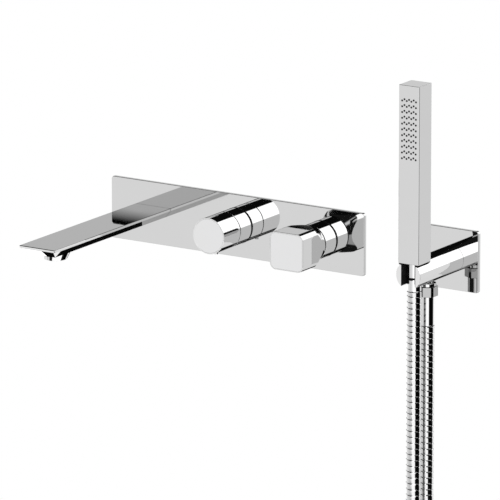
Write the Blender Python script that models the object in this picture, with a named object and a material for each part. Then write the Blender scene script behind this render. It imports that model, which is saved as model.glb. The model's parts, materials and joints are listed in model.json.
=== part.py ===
"""Wall mounted bath mixer: cover plate with blade spout, diverter knob and square mixer handle,
and a hand-shower holder with a square stick hand shower on a metal hose.
Metres, +Z up, wall face at Y = 0, the fittings stand out along -Y.
"""
import math
import bpy
import bmesh
from mathutils import Matrix, Vector

MM = 0.001
GAP = 0.3                 # clearance between touching pieces
NUT_TURN = math.radians(28.5)

# main plate
PLATE_W, PLATE_H, PLATE_T, PLATE_R = 300.0, 64.0, 4.0, 3.0
X_SPOUT, X_DIV, X_MIX = -100.0, 0.0, 100.0
# spout
SPOUT_W, SPOUT_TIP, SPOUT_TOP = 42.3, 211.5, 7.2
AER_T, AER_LEAN = 177.8, 0.3   # aerator distance from the wall, and its lean outward per mm of drop
# controls
BARREL_R = 18.5
COLLAR_END, KN0 = 24.6, 25.8
DIV_END = 55.6
MIX_COLLAR_END, HN0 = 24.3, 26.1
MIX_END, MIX_SIDE, MIX_CORNER = 68.9, 38.6, 6.5
# hand-shower holder
X_HOLD = 251.0
HOLD_W, HOLD_H = 61.0, 62.4
ARM_R, ARM_END, SEAT_Z = 13.75, 85.6, 10.0
STICK_W, STICK_T, STICK_Z0, STICK_Z1 = 23.3, 74.0, 11.6, 189.7
OUT_T = 49.5
# nozzles
NOZ_ROWS, NOZ_COLS, NOZ_DZ, NOZ_DX, NOZ_ZIG = 11, 7, 5.75, 2.6, 0.75
NOZ_TOP = 175.0
# hose
HOSE_D = 14.5
COIL_R, COIL_Z = 75.5, -417.0

for ob in list(bpy.data.objects):
    bpy.data.objects.remove(ob, do_unlink=True)


def material(name, rgb, metal, rough):
    m = bpy.data.materials.new(name)
    m.use_nodes = True
    b = m.node_tree.nodes["Principled BSDF"]
    b.inputs["Base Color"].default_value = (rgb[0], rgb[1], rgb[2], 1.0)
    b.inputs["Metallic"].default_value = metal
    b.inputs["Roughness"].default_value = rough
    return m


CHROME = material("chrome", (0.80, 0.80, 0.82), 1.0, 0.06)
BRASS = material("brass", (0.75, 0.58, 0.28), 1.0, 0.3)
STEEL = material("steel", (0.60, 0.60, 0.62), 1.0, 0.3)
RUBBER = material("rubber", (0.03, 0.03, 0.03), 0.0, 0.7)
SILICONE = material("silicone", (0.02, 0.02, 0.02), 0.0, 0.5)
PLASTIC = material("plastic", (0.55, 0.55, 0.55), 0.0, 0.5)
CERAMIC = material("cartridge_plastic", (0.85, 0.85, 0.82), 0.0, 0.4)


def finish(bm, name, mat):
    bmesh.ops.remove_doubles(bm, verts=bm.verts, dist=1e-7)
    bmesh.ops.recalc_face_normals(bm, faces=bm.faces)
    me = bpy.data.meshes.new(name)
    bm.to_mesh(me)
    bm.free()
    me.materials.append(mat)
    ob = bpy.data.objects.new(name, me)
    bpy.context.collection.objects.link(ob)
    return ob


def loft(name, rings, mat):
    """Close a stack of equal-length rings (lists of points in mm) into one solid."""
    bm = bmesh.new()
    vs = [[bm.verts.new(Vector(p) * MM) for p in ring] for ring in rings]
    n = len(rings[0])
    for a, b in zip(vs[:-1], vs[1:]):
        for i in range(n):
            j = (i + 1) % n
            bm.faces.new((a[i], a[j], b[j], b[i]))
    bm.faces.new(vs[0])
    bm.faces.new(list(reversed(vs[-1])))
    return finish(bm, name, mat)


def frame_y(x, z):
    """Radius and distance-from-wall coordinates around an axis that leaves the wall."""
    return lambda r, t, a: (x + r * math.cos(a), -t, z + r * math.sin(a))


def frame_z(x, t):
    return lambda r, h, a: (x + r * math.cos(a), -t + r * math.sin(a), h)


def lathe(name, profile, fr, mat, seg=32):
    """Revolve a closed outline of (radius, along) pairs; radius 0 points sit on the axis."""
    bm = bmesh.new()
    cols = []
    for k in range(seg):
        a = 2 * math.pi * k / seg
        cols.append([bm.verts.new(Vector(fr(r, t, a)) * MM) for r, t in profile])
    n = len(profile)
    for k in range(seg):
        c, d = cols[k], cols[(k + 1) % seg]
        for i in range(n):
            j = (i + 1) % n
            if profile[i][0] < 1e-6 and profile[j][0] < 1e-6:
                continue
            bm.faces.new((c[i], c[j], d[j], d[i]))
    bmesh.ops.remove_doubles(bm, verts=bm.verts, dist=1e-6)
    bmesh.ops.dissolve_degenerate(bm, dist=1e-6, edges=bm.edges)
    return finish(bm, name, mat)


def tube(name, r_out, r_in, t0, t1, fr, mat, seg=32, ch=0.0):
    """Straight tube, or a rod when r_in is 0, with an outer chamfer on its far end."""
    prof = [(r_in, t0), (r_out, t0)]
    if ch:
        prof += [(r_out, t1 - ch), (r_out - ch, t1)]
    else:
        prof += [(r_out, t1)]
    prof += [(r_in, t1)]
    return lathe(name, prof, fr, mat, seg)


def rrect(w, h, r, n=5):
    pts = []
    for cx, cy, a0 in ((w / 2 - r, h / 2 - r, 0), (-w / 2 + r, h / 2 - r, 90),
                       (-w / 2 + r, -h / 2 + r, 180), (w / 2 - r, -h / 2 + r, 270)):
        for k in range(n + 1):
            a = math.radians(a0 + 90.0 * k / n)
            pts.append((cx + r * math.cos(a), cy + r * math.sin(a)))
    return pts


def slab(name, outline, x, z, t0, t1, mat, ch=0.0):
    """Outline in the wall plane, pushed out from t0 to t1, with a small front chamfer."""
    rings = [[(x + u, -t0, z + v) for u, v in outline], [(x + u, -(t1 - ch), z + v) for u, v in outline]]
    if ch:
        hw = max(u for u, v in outline)
        hh = max(v for u, v in outline)
        rings.append([(x + u * (hw - ch) / hw, -t1, z + v * (hh - ch) / hh) for u, v in outline])
    return loft(name, rings, mat)


def block(name, x0, x1, t0, t1, z0, z1, mat):
    ring = [(x0, z0), (x1, z0), (x1, z1), (x0, z1)]
    return loft(name, [[(u, -t, v) for u, v in ring] for t in (t0, t1)], mat)


def closed(me):
    """Weld what the cut left a hair apart, then say whether every edge has two faces."""
    bm = bmesh.new()
    bm.from_mesh(me)
    bmesh.ops.remove_doubles(bm, verts=bm.verts, dist=2e-6)
    bmesh.ops.dissolve_degenerate(bm, dist=2e-6, edges=bm.edges)
    ok = all(len(e.link_faces) == 2 for e in bm.edges)
    if ok:
        bm.to_mesh(me)
    bm.free()
    return ok


def carve(ob, *cutters, op='DIFFERENCE'):
    """Apply exact booleans and drop the cutters; a cutter moves by microns if its cut would not close."""
    for c in cutters:
        for k in range(8):
            c.location = Vector((0.0, 0.0, 0.0)) if k == 0 else Vector((math.cos(k), math.sin(2 * k),
                                                                       math.cos(3 * k + 1))) * 0.012 * MM
            md = ob.modifiers.new("cut", 'BOOLEAN')
            md.operation = op
            md.solver = 'EXACT'
            md.object = c
            dg = bpy.context.evaluated_depsgraph_get()
            me = bpy.data.meshes.new_from_object(ob.evaluated_get(dg))
            ob.modifiers.clear()
            if closed(me):
                break
        mat = ob.data.materials[0]
        ob.data = me
        me.materials.clear()
        me.materials.append(mat)
        bpy.data.objects.remove(c, do_unlink=True)
    return ob


def hexa(name, af, hole, t0, t1, fr, mat):
    """Hexagon nut with a round hole."""
    r = af / math.sqrt(3)
    ob = lathe(name, [(0, t0), (r, t0), (r, t1), (0, t1)], lambda q, h, a: fr(q, h, a + NUT_TURN), mat, 6)
    return carve(ob, lathe("c", [(0, t0 - 1), (hole, t0 - 1), (hole, t1 + 1), (0, t1 + 1)], fr, mat, 20))


def set_origin(ob, x, t, z):
    p = Vector((x, -t, z)) * MM
    ob.data.transform(Matrix.Translation(-p))
    ob.location = p


def rod(r, t0, t1, fr, seg=32):
    return lathe("c", [(0, t0), (r, t0), (r, t1), (0, t1)], fr, STEEL, seg)


def frame_gasket(name, x, w, h):
    """Foam seal that sits in the groove on a plate's back."""
    ob = slab(name, rrect(w - 8.6, h - 8.6, 2.5), x, 0, 0.1, 1.2, RUBBER)
    return carve(ob, slab("c", rrect(w - 15.4, h - 15.4, 2.0), x, 0, -1, 3, RUBBER))


def back_groove(x, w, h):
    g = slab("c", rrect(w - 8, h - 8, 2.8), x, 0, -1, 1.5, RUBBER)
    return carve(g, slab("d", rrect(w - 16, h - 16, 1.8), x, 0, -2, 3, RUBBER))


# ---------------------------------------------------------------- main plate and concealed body
fs, fd, fm = frame_y(X_SPOUT, 3.0), frame_y(X_DIV, 0), frame_y(X_MIX, 0)
plate = slab("cover_plate", rrect(PLATE_W, PLATE_H, PLATE_R), 0, 0, 0, PLATE_T, CHROME, 0.4)
carve(plate, back_groove(0, PLATE_W, PLATE_H),
      slab("c", rrect(27.0, 6.6, 2.0), X_SPOUT, 3.0, -1, 6, STEEL),
      rod(16.2, -1, 6, fd, 32), rod(16.2, -1, 6, fm, 32))
frame_gasket("plate_gasket", 0, PLATE_W, PLATE_H)

ring = rrect(36.0, 34.0, 8.0)
body = loft("concealed_body", [[(x, -(-28.0 + u), v) for u, v in ring] for x in (-122.0, 118.0)], BRASS)
carve(body, rod(17.0, -28, -4, frame_y(X_DIV, 0), 32), rod(17.0, -28, -4, frame_y(X_MIX, 0), 32),
      slab("c", rrect(38.0, 24.0, 6.0), X_SPOUT, 1.0, -28, -4, BRASS), op='UNION')
for x in (X_MIX - 11.0, X_MIX + 11.0, X_DIV):
    carve(body, rod(9.0, -37, -10, frame_z(x, -28), 20), op='UNION')
carve(body, rod(13.4, -38, 0, fd, 24), rod(13.4, -38, 0, fm, 24),
      slab("c", rrect(26.6, 6.2, 2.0), X_SPOUT, 3.0, -38, 0, BRASS),
      loft("c", [[(x, 28.0 + 6 * math.cos(a), 6 * math.sin(a))
                  for a in (math.pi * k / 12 for k in range(24))] for x in (-104.0, 104.0)], BRASS))
for x in (X_MIX - 11.0, X_MIX + 11.0, X_DIV):
    carve(body, rod(6.0, -39, -5, frame_z(x, -28), 24))

# ---------------------------------------------------------------- spout
def spout_ring(t, half, edge, drop, inward, top=SPOUT_TOP):
    x = X_SPOUT
    return [(x - half, -t, top), (x - half, -t, top - edge), (x - half + inward, -t, top - edge - drop),
            (x + half - inward, -t, top - edge - drop), (x + half, -t, top - edge), (x + half, -t, top)]


h = SPOUT_W / 2
spout = loft("spout_body", [spout_ring(PLATE_T + GAP, h, 2.6, 7.4, 6.6), spout_ring(201, h, 2.6, 7.4, 6.6),
                            spout_ring(SPOUT_TIP - 0.7, h, 2.2, 0.5, 4.0),
                            spout_ring(SPOUT_TIP, h - 0.5, 1.3, 0.3, 3.8, SPOUT_TOP - 0.4)], CHROME)


def flat_duct(name, t0, t1, w, z0a, z1a, z0b, z1b, mat):
    def ring(t, z0, z1):
        x = X_SPOUT
        return [(x - w / 2, -t, z0), (x + w / 2, -t, z0), (x + w / 2, -t, z1), (x - w / 2, -t, z1)]
    return loft(name, [ring(t0, z0a, z1a), ring(t1, z0b, z1b)], mat)


AZ0 = SPOUT_TOP - 10.0    # underside of the spout over the aerator


def frame_aer(r, hgt, a):
    """Level rings whose centres move outward as they go down."""
    return (X_SPOUT + r * math.cos(a), -(AER_T + AER_LEAN * (AZ0 - hgt)) + r * math.sin(a), hgt)


carve(spout, flat_duct("c", 20, 184, 26.0, -0.6, 5.6, -0.6, 5.6, CHROME),
      slab("c", rrect(26.7, 6.2, 2.0), X_SPOUT, 3.0, 0, 24, CHROME), rod(9.8, -9, 2.0, frame_aer, 24))
nip = slab("spout_nipple", rrect(26.0, 5.6, 1.8), X_SPOUT, 3.0, -26, 22, BRASS)
carve(nip, slab("c", rrect(22.6, 2.6, 1.2), X_SPOUT, 3.0, -30, 26, BRASS))
seal = slab("spout_seal", rrect(34.0, 14.0, 3.0), X_SPOUT, 3.0, -3.7, -2.2, RUBBER)
carve(seal, slab("c", rrect(26.6, 6.2, 2.0), X_SPOUT, 3.0, -6, 2, RUBBER))
lathe("aerator_housing", [(9.4, -0.6), (7.4, -0.6), (7.4, -5.0), (10.9, -5.0), (10.9, -9.6), (11.8, -9.8),
                          (12.2, -9.4), (14.3, -3.2), (14.1, -3.1), (9.4, -3.1)], frame_aer, CHROME)
tube("aerator_insert", 10.5, 0.0, -9.0, -7.0, frame_aer, PLASTIC, 24)
tube("aerator_seal", 10.4, 7.6, -6.7, -5.3, frame_aer, RUBBER, 24)


# ---------------------------------------------------------------- controls
def control(tag, x, spline, end, start):
    f = frame_y(x, 0)
    lathe(tag + "_cartridge", [(0, -36), (12.9, -36), (12.9, 3.6), (9.5, 3.6), (9.5, 12),
                               (4.6, 12), (4.6, -20), (0, -20)], f, CERAMIC, 24)
    hexa(tag + "_gland_nut", 27.5, 13.2, -3.7, 3.2, f, STEEL)
    tube(tag + "_collar_ring", 18.6, 16.6, PLATE_T + GAP, 5.2, f, RUBBER, 40)
    lathe(tag + "_collar", [(16.6, 5.5), (BARREL_R, 5.5), (BARREL_R, end), (10.2, end),
                            (10.2, end - 2.2), (16.6, end - 2.2)], f, CHROME, 40)
    tube(tag + "_glide_ring", 18.2, 16.6, end + GAP, start - GAP, f, RUBBER, 32)
    sp = lathe(tag + "_spindle", [(0, -19.6), (4.2, -19.6), (4.2, spline), (0, spline)], f, BRASS, 24)
    set_origin(sp, x, 0, 0)


control("diverter", X_DIV, 42.0, COLLAR_END, KN0)
control("mixer", X_MIX, 52.0, MIX_COLLAR_END, HN0)

knob = lathe("diverter_knob", [(4.5, KN0 + 2), (9.6, KN0 + 2), (9.6, 44), (16.0, 44), (16.0, KN0),
                               (BARREL_R, KN0), (BARREL_R, DIV_END - 0.5), (BARREL_R - 0.5, DIV_END),
                               (17.3, DIV_END), (17.3, DIV_END - 2.0), (2.4, DIV_END - 2.0), (2.4, 44.6),
                               (4.5, 44.6)], fd, CHROME, 40)
carve(knob, rod(2.3, -22, -15, frame_z(X_DIV, 41.5), 24))
set_origin(knob, X_DIV, KN0, 0)
cap = lathe("diverter_cap", [(0, DIV_END - 1.7), (17.0, DIV_END - 1.7), (17.0, DIV_END), (0, DIV_END)],
            fd, CHROME, 40)
set_origin(cap, X_DIV, KN0, 0)
pin = tube("diverter_pin", 2.0, 0.0, -21.4, -16.3, frame_z(X_DIV, 41.5), CHROME, 24)
set_origin(pin, X_DIV, KN0, 0)
scr = lathe("diverter_screw", [(0, 43.0), (2.1, 43.0), (2.1, 53.3), (0, 53.3)], fd, STEEL, 20)
set_origin(scr, X_DIV, KN0, 0)

handle = slab("mixer_handle", rrect(MIX_SIDE, MIX_SIDE, MIX_CORNER, 8), X_MIX, 0, HN0, MIX_END, CHROME, 0.6)
turned = lathe("c", [(0, 20), (18.3, 20), (18.5, 26.2), (19.3, 30.4), (21.4, 35.6), (24.6, 42.4), (27, 46),
                     (27, 80), (0, 80)], fm, CHROME, 56)
carve(handle, turned, op='INTERSECT')
carve(handle, lathe("c", [(9.8, 20), (9.8, 54), (16.0, 54), (16.0, 20)], fm, CHROME, 32), rod(4.5, 20, 54.6, fm, 24),
      slab("c", rrect(MIX_SIDE - 2.4, MIX_SIDE - 2.4, 5.6, 6), X_MIX, 0, MIX_END - 2.0, MIX_END + 2, CHROME),
      rod(2.4, -20.5, -4.0, frame_z(X_MIX, 46), 20))
carve(handle, rod(11.0, 22, 28, fm, 20))
set_origin(handle, X_MIX, HN0, 0)
cap = slab("mixer_cap", rrect(MIX_SIDE - 3.0, MIX_SIDE - 3.0, 5.3, 6), X_MIX, 0, MIX_END - 1.7, MIX_END, CHROME)
set_origin(cap, X_MIX, HN0, 0)
scr = tube("mixer_grub_screw", 2.1, 0.0, -9.4, -4.6, frame_z(X_MIX, 46), STEEL, 20)
set_origin(scr, X_MIX, HN0, 0)

# ---------------------------------------------------------------- hand-shower holder
fh = frame_y(X_HOLD, 0)
hp = slab("holder_plate", rrect(HOLD_W, HOLD_H, PLATE_R), X_HOLD, 0, 0, PLATE_T, CHROME, 0.4)
carve(hp, back_groove(X_HOLD, HOLD_W, HOLD_H), rod(11.0, -1, 6, fh, 24))
frame_gasket("holder_gasket", X_HOLD, HOLD_W, HOLD_H)
tube("wall_nipple", 10.45, 6.5, -26, 20, fh, BRASS, 24)
arm = lathe("holder_arm", [(10.75, 4.3), (ARM_R, 4.3), (ARM_R, ARM_END - 0.6), (ARM_R - 0.6, ARM_END),
                           (0, ARM_END), (0, 50), (6.5, 50), (6.5, 22), (10.75, 22)], fh, CHROME, 40)
carve(arm, block("c", X_HOLD - 20, X_HOLD + 20, STICK_T - STICK_W / 2 - 0.5, 100, SEAT_Z, 30, CHROME),
      block("c", X_HOLD - 8.1, X_HOLD + 8.1, STICK_T, 100, -20, 20, CHROME),
      rod(8.1, -20, 20, frame_z(X_HOLD, STICK_T), 32),
      rod(5.0, -20, 0, frame_z(X_HOLD, OUT_T), 20), rod(2.6, -20, -9, frame_z(X_HOLD, 13), 20))
liner = block("fork_liner", X_HOLD - 10.9, X_HOLD + 10.9, STICK_T - STICK_W / 2 - 0.2, 85.3, SEAT_Z + GAP,
              STICK_Z0 - GAP, RUBBER)
carve(liner, rod(7.8, -10.4, SEAT_Z + 0.8, frame_z(X_HOLD, STICK_T), 32),
      block("c", X_HOLD - 7.8, X_HOLD + 7.8, STICK_T, 85.0, -10.4, SEAT_Z + 0.8, RUBBER), op='UNION')
carve(liner, block("c", X_HOLD - 7.3, X_HOLD + 7.3, STICK_T, 100, -20, 20, RUBBER),
      rod(7.3, -20, 20, frame_z(X_HOLD, STICK_T), 32))
tube("arm_grub_screw", 2.3, 0.0, -13.3, -10.8, frame_z(X_HOLD, 13), STEEL, 20)
lathe("outlet_stub", [(3.6, -25.3), (6.3, -25.3), (6.3, -14.1), (4.7, -14.1), (4.7, -6.0), (3.6, -6.0)],
      frame_z(X_HOLD, OUT_T), CHROME, 24)
lathe("outlet_collar", [(6.6, -17.1), (8.6, -17.1), (8.6, -14.1), (6.6, -14.1)], frame_z(X_HOLD, OUT_T), CHROME, 24)
tube("check_valve", 3.3, 1.2, -25, -14, frame_z(X_HOLD, OUT_T), PLASTIC, 24)

# ---------------------------------------------------------------- hand shower
def origin_stick(ob):
    set_origin(ob, X_HOLD, STICK_T, SEAT_Z)
    return ob


def stick_ring(half, z, r=0.8):
    return [(X_HOLD + u, -STICK_T + v, z) for u, v in rrect(2 * half, 2 * half, r, 3)]


S = STICK_W / 2
stick = loft("handset_body", [stick_ring(S - 0.4, STICK_Z0, 0.5), stick_ring(S, STICK_Z0 + 0.4),
                              stick_ring(S, STICK_Z1 - 0.4), stick_ring(S - 0.4, STICK_Z1, 0.5)], CHROME)
carve(stick, loft("c", [stick_ring(S - 2.0, z, 0.6) for z in (STICK_Z0 - 2, STICK_Z1 - 2.5)], CHROME))
bm = bmesh.new()
FRONT = STICK_T + S


def nozzles(bm, half, t0, t1):
    """One small square post per nozzle, alternate columns stepped up and down."""
    for r in range(NOZ_ROWS):
        for c in range(NOZ_COLS):
            x = X_HOLD + (c - (NOZ_COLS - 1) / 2) * NOZ_DX
            z = NOZ_TOP - r * NOZ_DZ + (NOZ_ZIG if c % 2 else -NOZ_ZIG)
            m = Matrix.Translation(Vector((x, -(t0 + t1) / 2, z)) * MM) @ Matrix.Diagonal(
                (2 * half * MM, (t1 - t0) * MM, 2 * half * MM, 1))
            bmesh.ops.create_cube(bm, size=1.0, matrix=m)


nozzles(bm, 0.85, FRONT - 4, FRONT + 2)
carve(stick, finish(bm, "c", CHROME))
origin_stick(stick)

zlo = NOZ_TOP - (NOZ_ROWS - 1) * NOZ_DZ - 6
mat_ob = block("nozzle_mat", X_HOLD - 8.7, X_HOLD + 8.7, FRONT - 3.5, FRONT - 2.3, zlo, NOZ_TOP + 6, SILICONE)
bm = bmesh.new()
nozzles(bm, 0.55, FRONT - 3.0, FRONT + 0.5)
carve(mat_ob, finish(bm, "c", SILICONE), op='UNION')
origin_stick(mat_ob)
back = block("mat_retainer", X_HOLD - 8.7, X_HOLD + 8.7, FRONT - 6.4, FRONT - 3.8, zlo, NOZ_TOP + 6, PLASTIC)
carve(back, block("c", X_HOLD - 6.5, X_HOLD + 6.5, FRONT - 8, FRONT - 2, zlo + 3, NOZ_TOP + 3, PLASTIC))
origin_stick(back)
plug = loft("handset_plug", [stick_ring(8.8, z, 0.6) for z in (STICK_Z0 + 1.0, STICK_Z0 + 13)], BRASS)
carve(plug, rod(5.3, 0, 30, frame_z(X_HOLD, STICK_T), 20))
origin_stick(plug)
con = tube("handset_connector", 5.0, 3.6, -3.2, STICK_Z0 + 12, frame_z(X_HOLD, STICK_T), CHROME, 20)
origin_stick(con)
sle = lathe("connector_sleeve", [(5.3, -3.2), (7.0, -3.2), (7.0, STICK_Z0 - 0.3), (5.3, STICK_Z0 - 0.3)],
            frame_z(X_HOLD, STICK_T), CHROME, 32)
origin_stick(sle)
was = tube("connector_washer", 6.7, 3.6, -4.8, -3.5, frame_z(X_HOLD, STICK_T), RUBBER, 20)
origin_stick(was)

# ---------------------------------------------------------------- hose
f1, f2 = frame_z(X_HOLD, STICK_T), frame_z(X_HOLD, OUT_T)
cone = lathe("hose_cone_nut", [(3.6, -5.1), (6.8, -5.1), (7.1, -5.6), (7.1, -16.9), (6.9, -17.4), (3.6, -17.4)],
             f1, CHROME, 32)
set_origin(cone, X_HOLD, STICK_T, -5.1)
hexa("hose_nut", 19.5, 6.6, -26.9, -17.4, f2, CHROME)
lathe("hose_nut_washer", [(2.0, -26.8), (6.2, -26.8), (6.2, -25.6), (2.0, -25.6)], f2, RUBBER, 20)
lathe("hose_ferrule", [(3.0, -57.0), (6.9, -57.0), (7.2, -56.5), (7.2, -28.3), (6.9, -27.2), (3.0, -27.2)],
      f2, CHROME, 32)


def hose_route():
    """Points in mm: straight down from the hand shower, one and a half hanging turns, up to the outlet."""
    y0, y1, top = -STICK_T, -OUT_T, COIL_Z + 185.0
    pts = [(X_HOLD, y0, -17.7 + (top + 17.7) * k / 8.0) for k in range(9)]
    turns = 1.5
    n = 34
    for k in range(1, 9):
        u = k / 9.0
        w = u * u * (3 - 2 * u)
        pts.append((X_HOLD - COIL_R * w, y0, top + (COIL_Z - top) * u))
    for k in range(n + 1):
        a = math.pi + 2 * math.pi * turns * k / n
        pts.append((X_HOLD + COIL_R * math.cos(a), y0 + (y1 - y0) * k / n, COIL_Z + COIL_R * math.sin(a)))
    for k in range(1, 9):
        u = k / 9.0
        w = u * u * (3 - 2 * u)
        pts.append((X_HOLD + COIL_R * (1 - w), y1, COIL_Z + (top - COIL_Z) * u))
    pts += [(X_HOLD, y1, top + (-57.3 - top) * k / 8.0) for k in range(9)]
    return [Vector(p) * MM for p in pts]


route = hose_route()
print("hose points", len(route), "length m", round(sum((b - a).length for a, b in zip(route[:-1], route[1:])), 4))
cu = bpy.data.curves.new("shower_hose", 'CURVE')
cu.dimensions = '3D'
cu.bevel_depth = HOSE_D / 2 * MM
cu.bevel_resolution = 2
cu.use_fill_caps = True
cu.materials.append(CHROME)
sp = cu.splines.new('POLY')
sp.points.add(len(route) - 1)
for p, v in zip(sp.points, route):
    p.co = (v.x, v.y, v.z, 1.0)
hose = bpy.data.objects.new("shower_hose", cu)
bpy.context.collection.objects.link(hose)


def tie(name, x, ya, yb):
    """Plastic band round the two turns that lie side by side."""
    ym, dy, d = (ya + yb) / 2, abs(yb - ya), HOSE_D
    out = [[(x + u, ym + v, COIL_Z + w) for u, v in rrect(d + 4.8, dy + d + 4.8, 9.4, 6)] for w in (-2.5, 2.5)]
    cut = [[(x + u, ym + v, COIL_Z + w) for u, v in rrect(d + 2.2, dy + d + 2.2, 8.2, 6)] for w in (-4.0, 4.0)]
    carve(loft(name, out, PLASTIC), loft("c", cut, PLASTIC))


step = (STICK_T - OUT_T) / 1.5
tie("hose_tie_left", X_HOLD - COIL_R, -STICK_T, -STICK_T + step)
tie("hose_tie_right", X_HOLD + COIL_R, -OUT_T - step, -OUT_T)

for ob in bpy.data.objects:
    if ob.type == 'MESH':
        ob.data.shade_smooth()
        ob.data.set_sharp_from_angle(angle=math.radians(30))
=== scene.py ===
"""Visual model of the wall mounted bath mixer with its hand shower. Metres, +Z up, wall face at Y = 0."""
import json
import math
import bmesh
import bpy
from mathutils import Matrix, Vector


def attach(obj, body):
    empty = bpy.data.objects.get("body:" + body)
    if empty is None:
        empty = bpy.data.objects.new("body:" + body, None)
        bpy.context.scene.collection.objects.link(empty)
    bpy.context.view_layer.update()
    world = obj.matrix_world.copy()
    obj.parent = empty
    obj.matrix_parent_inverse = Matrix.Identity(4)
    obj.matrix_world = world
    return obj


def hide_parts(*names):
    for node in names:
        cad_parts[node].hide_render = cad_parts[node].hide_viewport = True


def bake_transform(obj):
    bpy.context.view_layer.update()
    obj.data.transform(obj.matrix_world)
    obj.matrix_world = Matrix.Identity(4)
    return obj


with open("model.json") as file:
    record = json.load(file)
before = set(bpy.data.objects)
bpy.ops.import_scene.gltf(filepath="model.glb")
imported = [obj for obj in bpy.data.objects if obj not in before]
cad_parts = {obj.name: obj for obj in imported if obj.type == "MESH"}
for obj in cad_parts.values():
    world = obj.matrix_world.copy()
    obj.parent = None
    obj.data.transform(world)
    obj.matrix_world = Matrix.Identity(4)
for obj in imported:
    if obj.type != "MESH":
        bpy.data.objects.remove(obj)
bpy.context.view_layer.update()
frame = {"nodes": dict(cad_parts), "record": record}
MM = 0.001

# driving dimensions, as in the CAD model, in mm
PLATE_W, PLATE_H, PLATE_T, PLATE_R = 300.0, 64.0, 4.0, 3.0
X_SPOUT, X_DIV, X_MIX, X_HOLD = -100.0, 0.0, 100.0, 251.0
SPOUT_W, SPOUT_TIP, SPOUT_TOP, AER_T, AER_LEAN = 42.3, 211.5, 7.2, 177.8, 0.3
BARREL_R, COLLAR_END, KN0, DIV_END = 18.5, 24.6, 25.8, 55.6
MIX_COLLAR_END, HN0, MIX_END, MIX_SIDE, MIX_CORNER = 24.3, 26.1, 68.9, 38.6, 6.5
HOLD_W, HOLD_H = 61.0, 62.4
ARM_R, ARM_END, SEAT_Z, OUT_T = 13.75, 85.6, 10.0, 49.5
STICK_W, STICK_T, STICK_Z0, STICK_Z1 = 23.3, 74.0, 11.6, 189.7
NOZ_ROWS, NOZ_COLS, NOZ_DZ, NOZ_DX, NOZ_ZIG, NOZ_TOP = 11, 7, 5.75, 2.6, 0.75, 175.0
HOSE_D, COIL_R, COIL_Z = 14.5, 75.5, -417.0
HOSE_TOP, HOSE_END, NECK = -17.7, -57.3, 185.0
# Numbers of the materials that a piece has besides its own. Faces of the spout, aerator, hexagon nut, hose
# and hand shower carry a fixed lighter or darker plating, which stands in for reflections of a studio that
# the world below only roughly repeats.
PAINT_1, PAINT_2, PAINT_3 = 1, 2, 3
# steps of a small fillet and of a rolled edge
FILLET_STEPS, EDGE_STEPS = 3, 4

# ---------------------------------------------------------------- camera
AZ, EL, DIST, WIDE = math.radians(32.66), math.radians(14.07), 7.3479, 0.5
back = Vector((math.sin(AZ) * math.cos(EL), -math.cos(AZ) * math.cos(EL), math.sin(EL)))
cam = bpy.data.objects.new("camera", bpy.data.cameras.new("camera"))
bpy.context.scene.collection.objects.link(cam)
cam.location = Vector((13.39, 0.0, -24.08)) * MM + back * DIST
cam.rotation_mode = 'QUATERNION'
cam.rotation_quaternion = (-back).to_track_quat('-Z', 'Y')
cam.data.sensor_width = 36.0
cam.data.lens = 36.0 * DIST / WIDE
cam.data.clip_start, cam.data.clip_end = 0.1, 60.0
bpy.context.scene.camera = cam


# ---------------------------------------------------------------- materials
def new_mat(name):
    m = bpy.data.materials.new(name)
    m.use_nodes = True
    return m, m.node_tree.nodes, m.node_tree.links, m.node_tree.nodes["Principled BSDF"]


def noise(nodes, links, scale, detail=3.0, stretch=None):
    tc = nodes.new("ShaderNodeTexCoord")
    mp = nodes.new("ShaderNodeMapping")
    if stretch:
        mp.inputs["Scale"].default_value = stretch
    nz = nodes.new("ShaderNodeTexNoise")
    nz.inputs["Scale"].default_value = scale
    nz.inputs["Detail"].default_value = detail
    links.new(tc.outputs["Object"], mp.inputs["Vector"])
    links.new(mp.outputs["Vector"], nz.inputs["Vector"])
    return nz


def span(nodes, links, src, lo, hi, a=0.3, b=0.7):
    mr = nodes.new("ShaderNodeMapRange")
    mr.inputs["From Min"].default_value, mr.inputs["From Max"].default_value = a, b
    mr.inputs["To Min"].default_value, mr.inputs["To Max"].default_value = lo, hi
    links.new(src, mr.inputs["Value"])
    return mr.outputs["Result"]


def tint(nodes, links, src, c0, c1):
    cr = nodes.new("ShaderNodeValToRGB")
    cr.color_ramp.elements[0].position, cr.color_ramp.elements[1].position = 0.3, 0.7
    cr.color_ramp.elements[0].color = (*c0, 1)
    cr.color_ramp.elements[1].color = (*c1, 1)
    links.new(src, cr.inputs["Fac"])
    return cr.outputs["Color"]


def bump(nodes, links, src, bsdf, dist):
    bp = nodes.new("ShaderNodeBump")
    bp.inputs["Distance"].default_value = dist
    links.new(src, bp.inputs["Height"])
    links.new(bp.outputs["Normal"], bsdf.inputs["Normal"])


def chrome(name, value, r0=0.012, r1=0.045, blue=0.0):
    """Polished plating: a clean mirror whose gloss varies faintly with wiping marks."""
    m, n, l, b = new_mat(name)
    b.inputs["Metallic"].default_value = 1.0
    nz = noise(n, l, 18.0, 4.0, (1.0, 1.0, 2.5))
    colour = tint(n, l, nz.outputs["Fac"], (value * 0.99,) * 3, (value, value, value + blue))
    l.new(colour, b.inputs["Base Color"])
    nf = noise(n, l, 55.0, 5.0, (1.0, 1.0, 1.0))
    l.new(span(n, l, nf.outputs["Fac"], r0, r1), b.inputs["Roughness"])
    return m


def rough_metal(name, c0, c1, scale, r0, r1, dist):
    m, n, l, b = new_mat(name)
    b.inputs["Metallic"].default_value = 1.0
    nz = noise(n, l, scale, 6.0)
    l.new(tint(n, l, nz.outputs["Fac"], c0, c1), b.inputs["Base Color"])
    l.new(span(n, l, nz.outputs["Fac"], r0, r1), b.inputs["Roughness"])
    fine = noise(n, l, scale * 9, 3.0)
    bump(n, l, fine.outputs["Fac"], b, dist)
    return m


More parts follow.
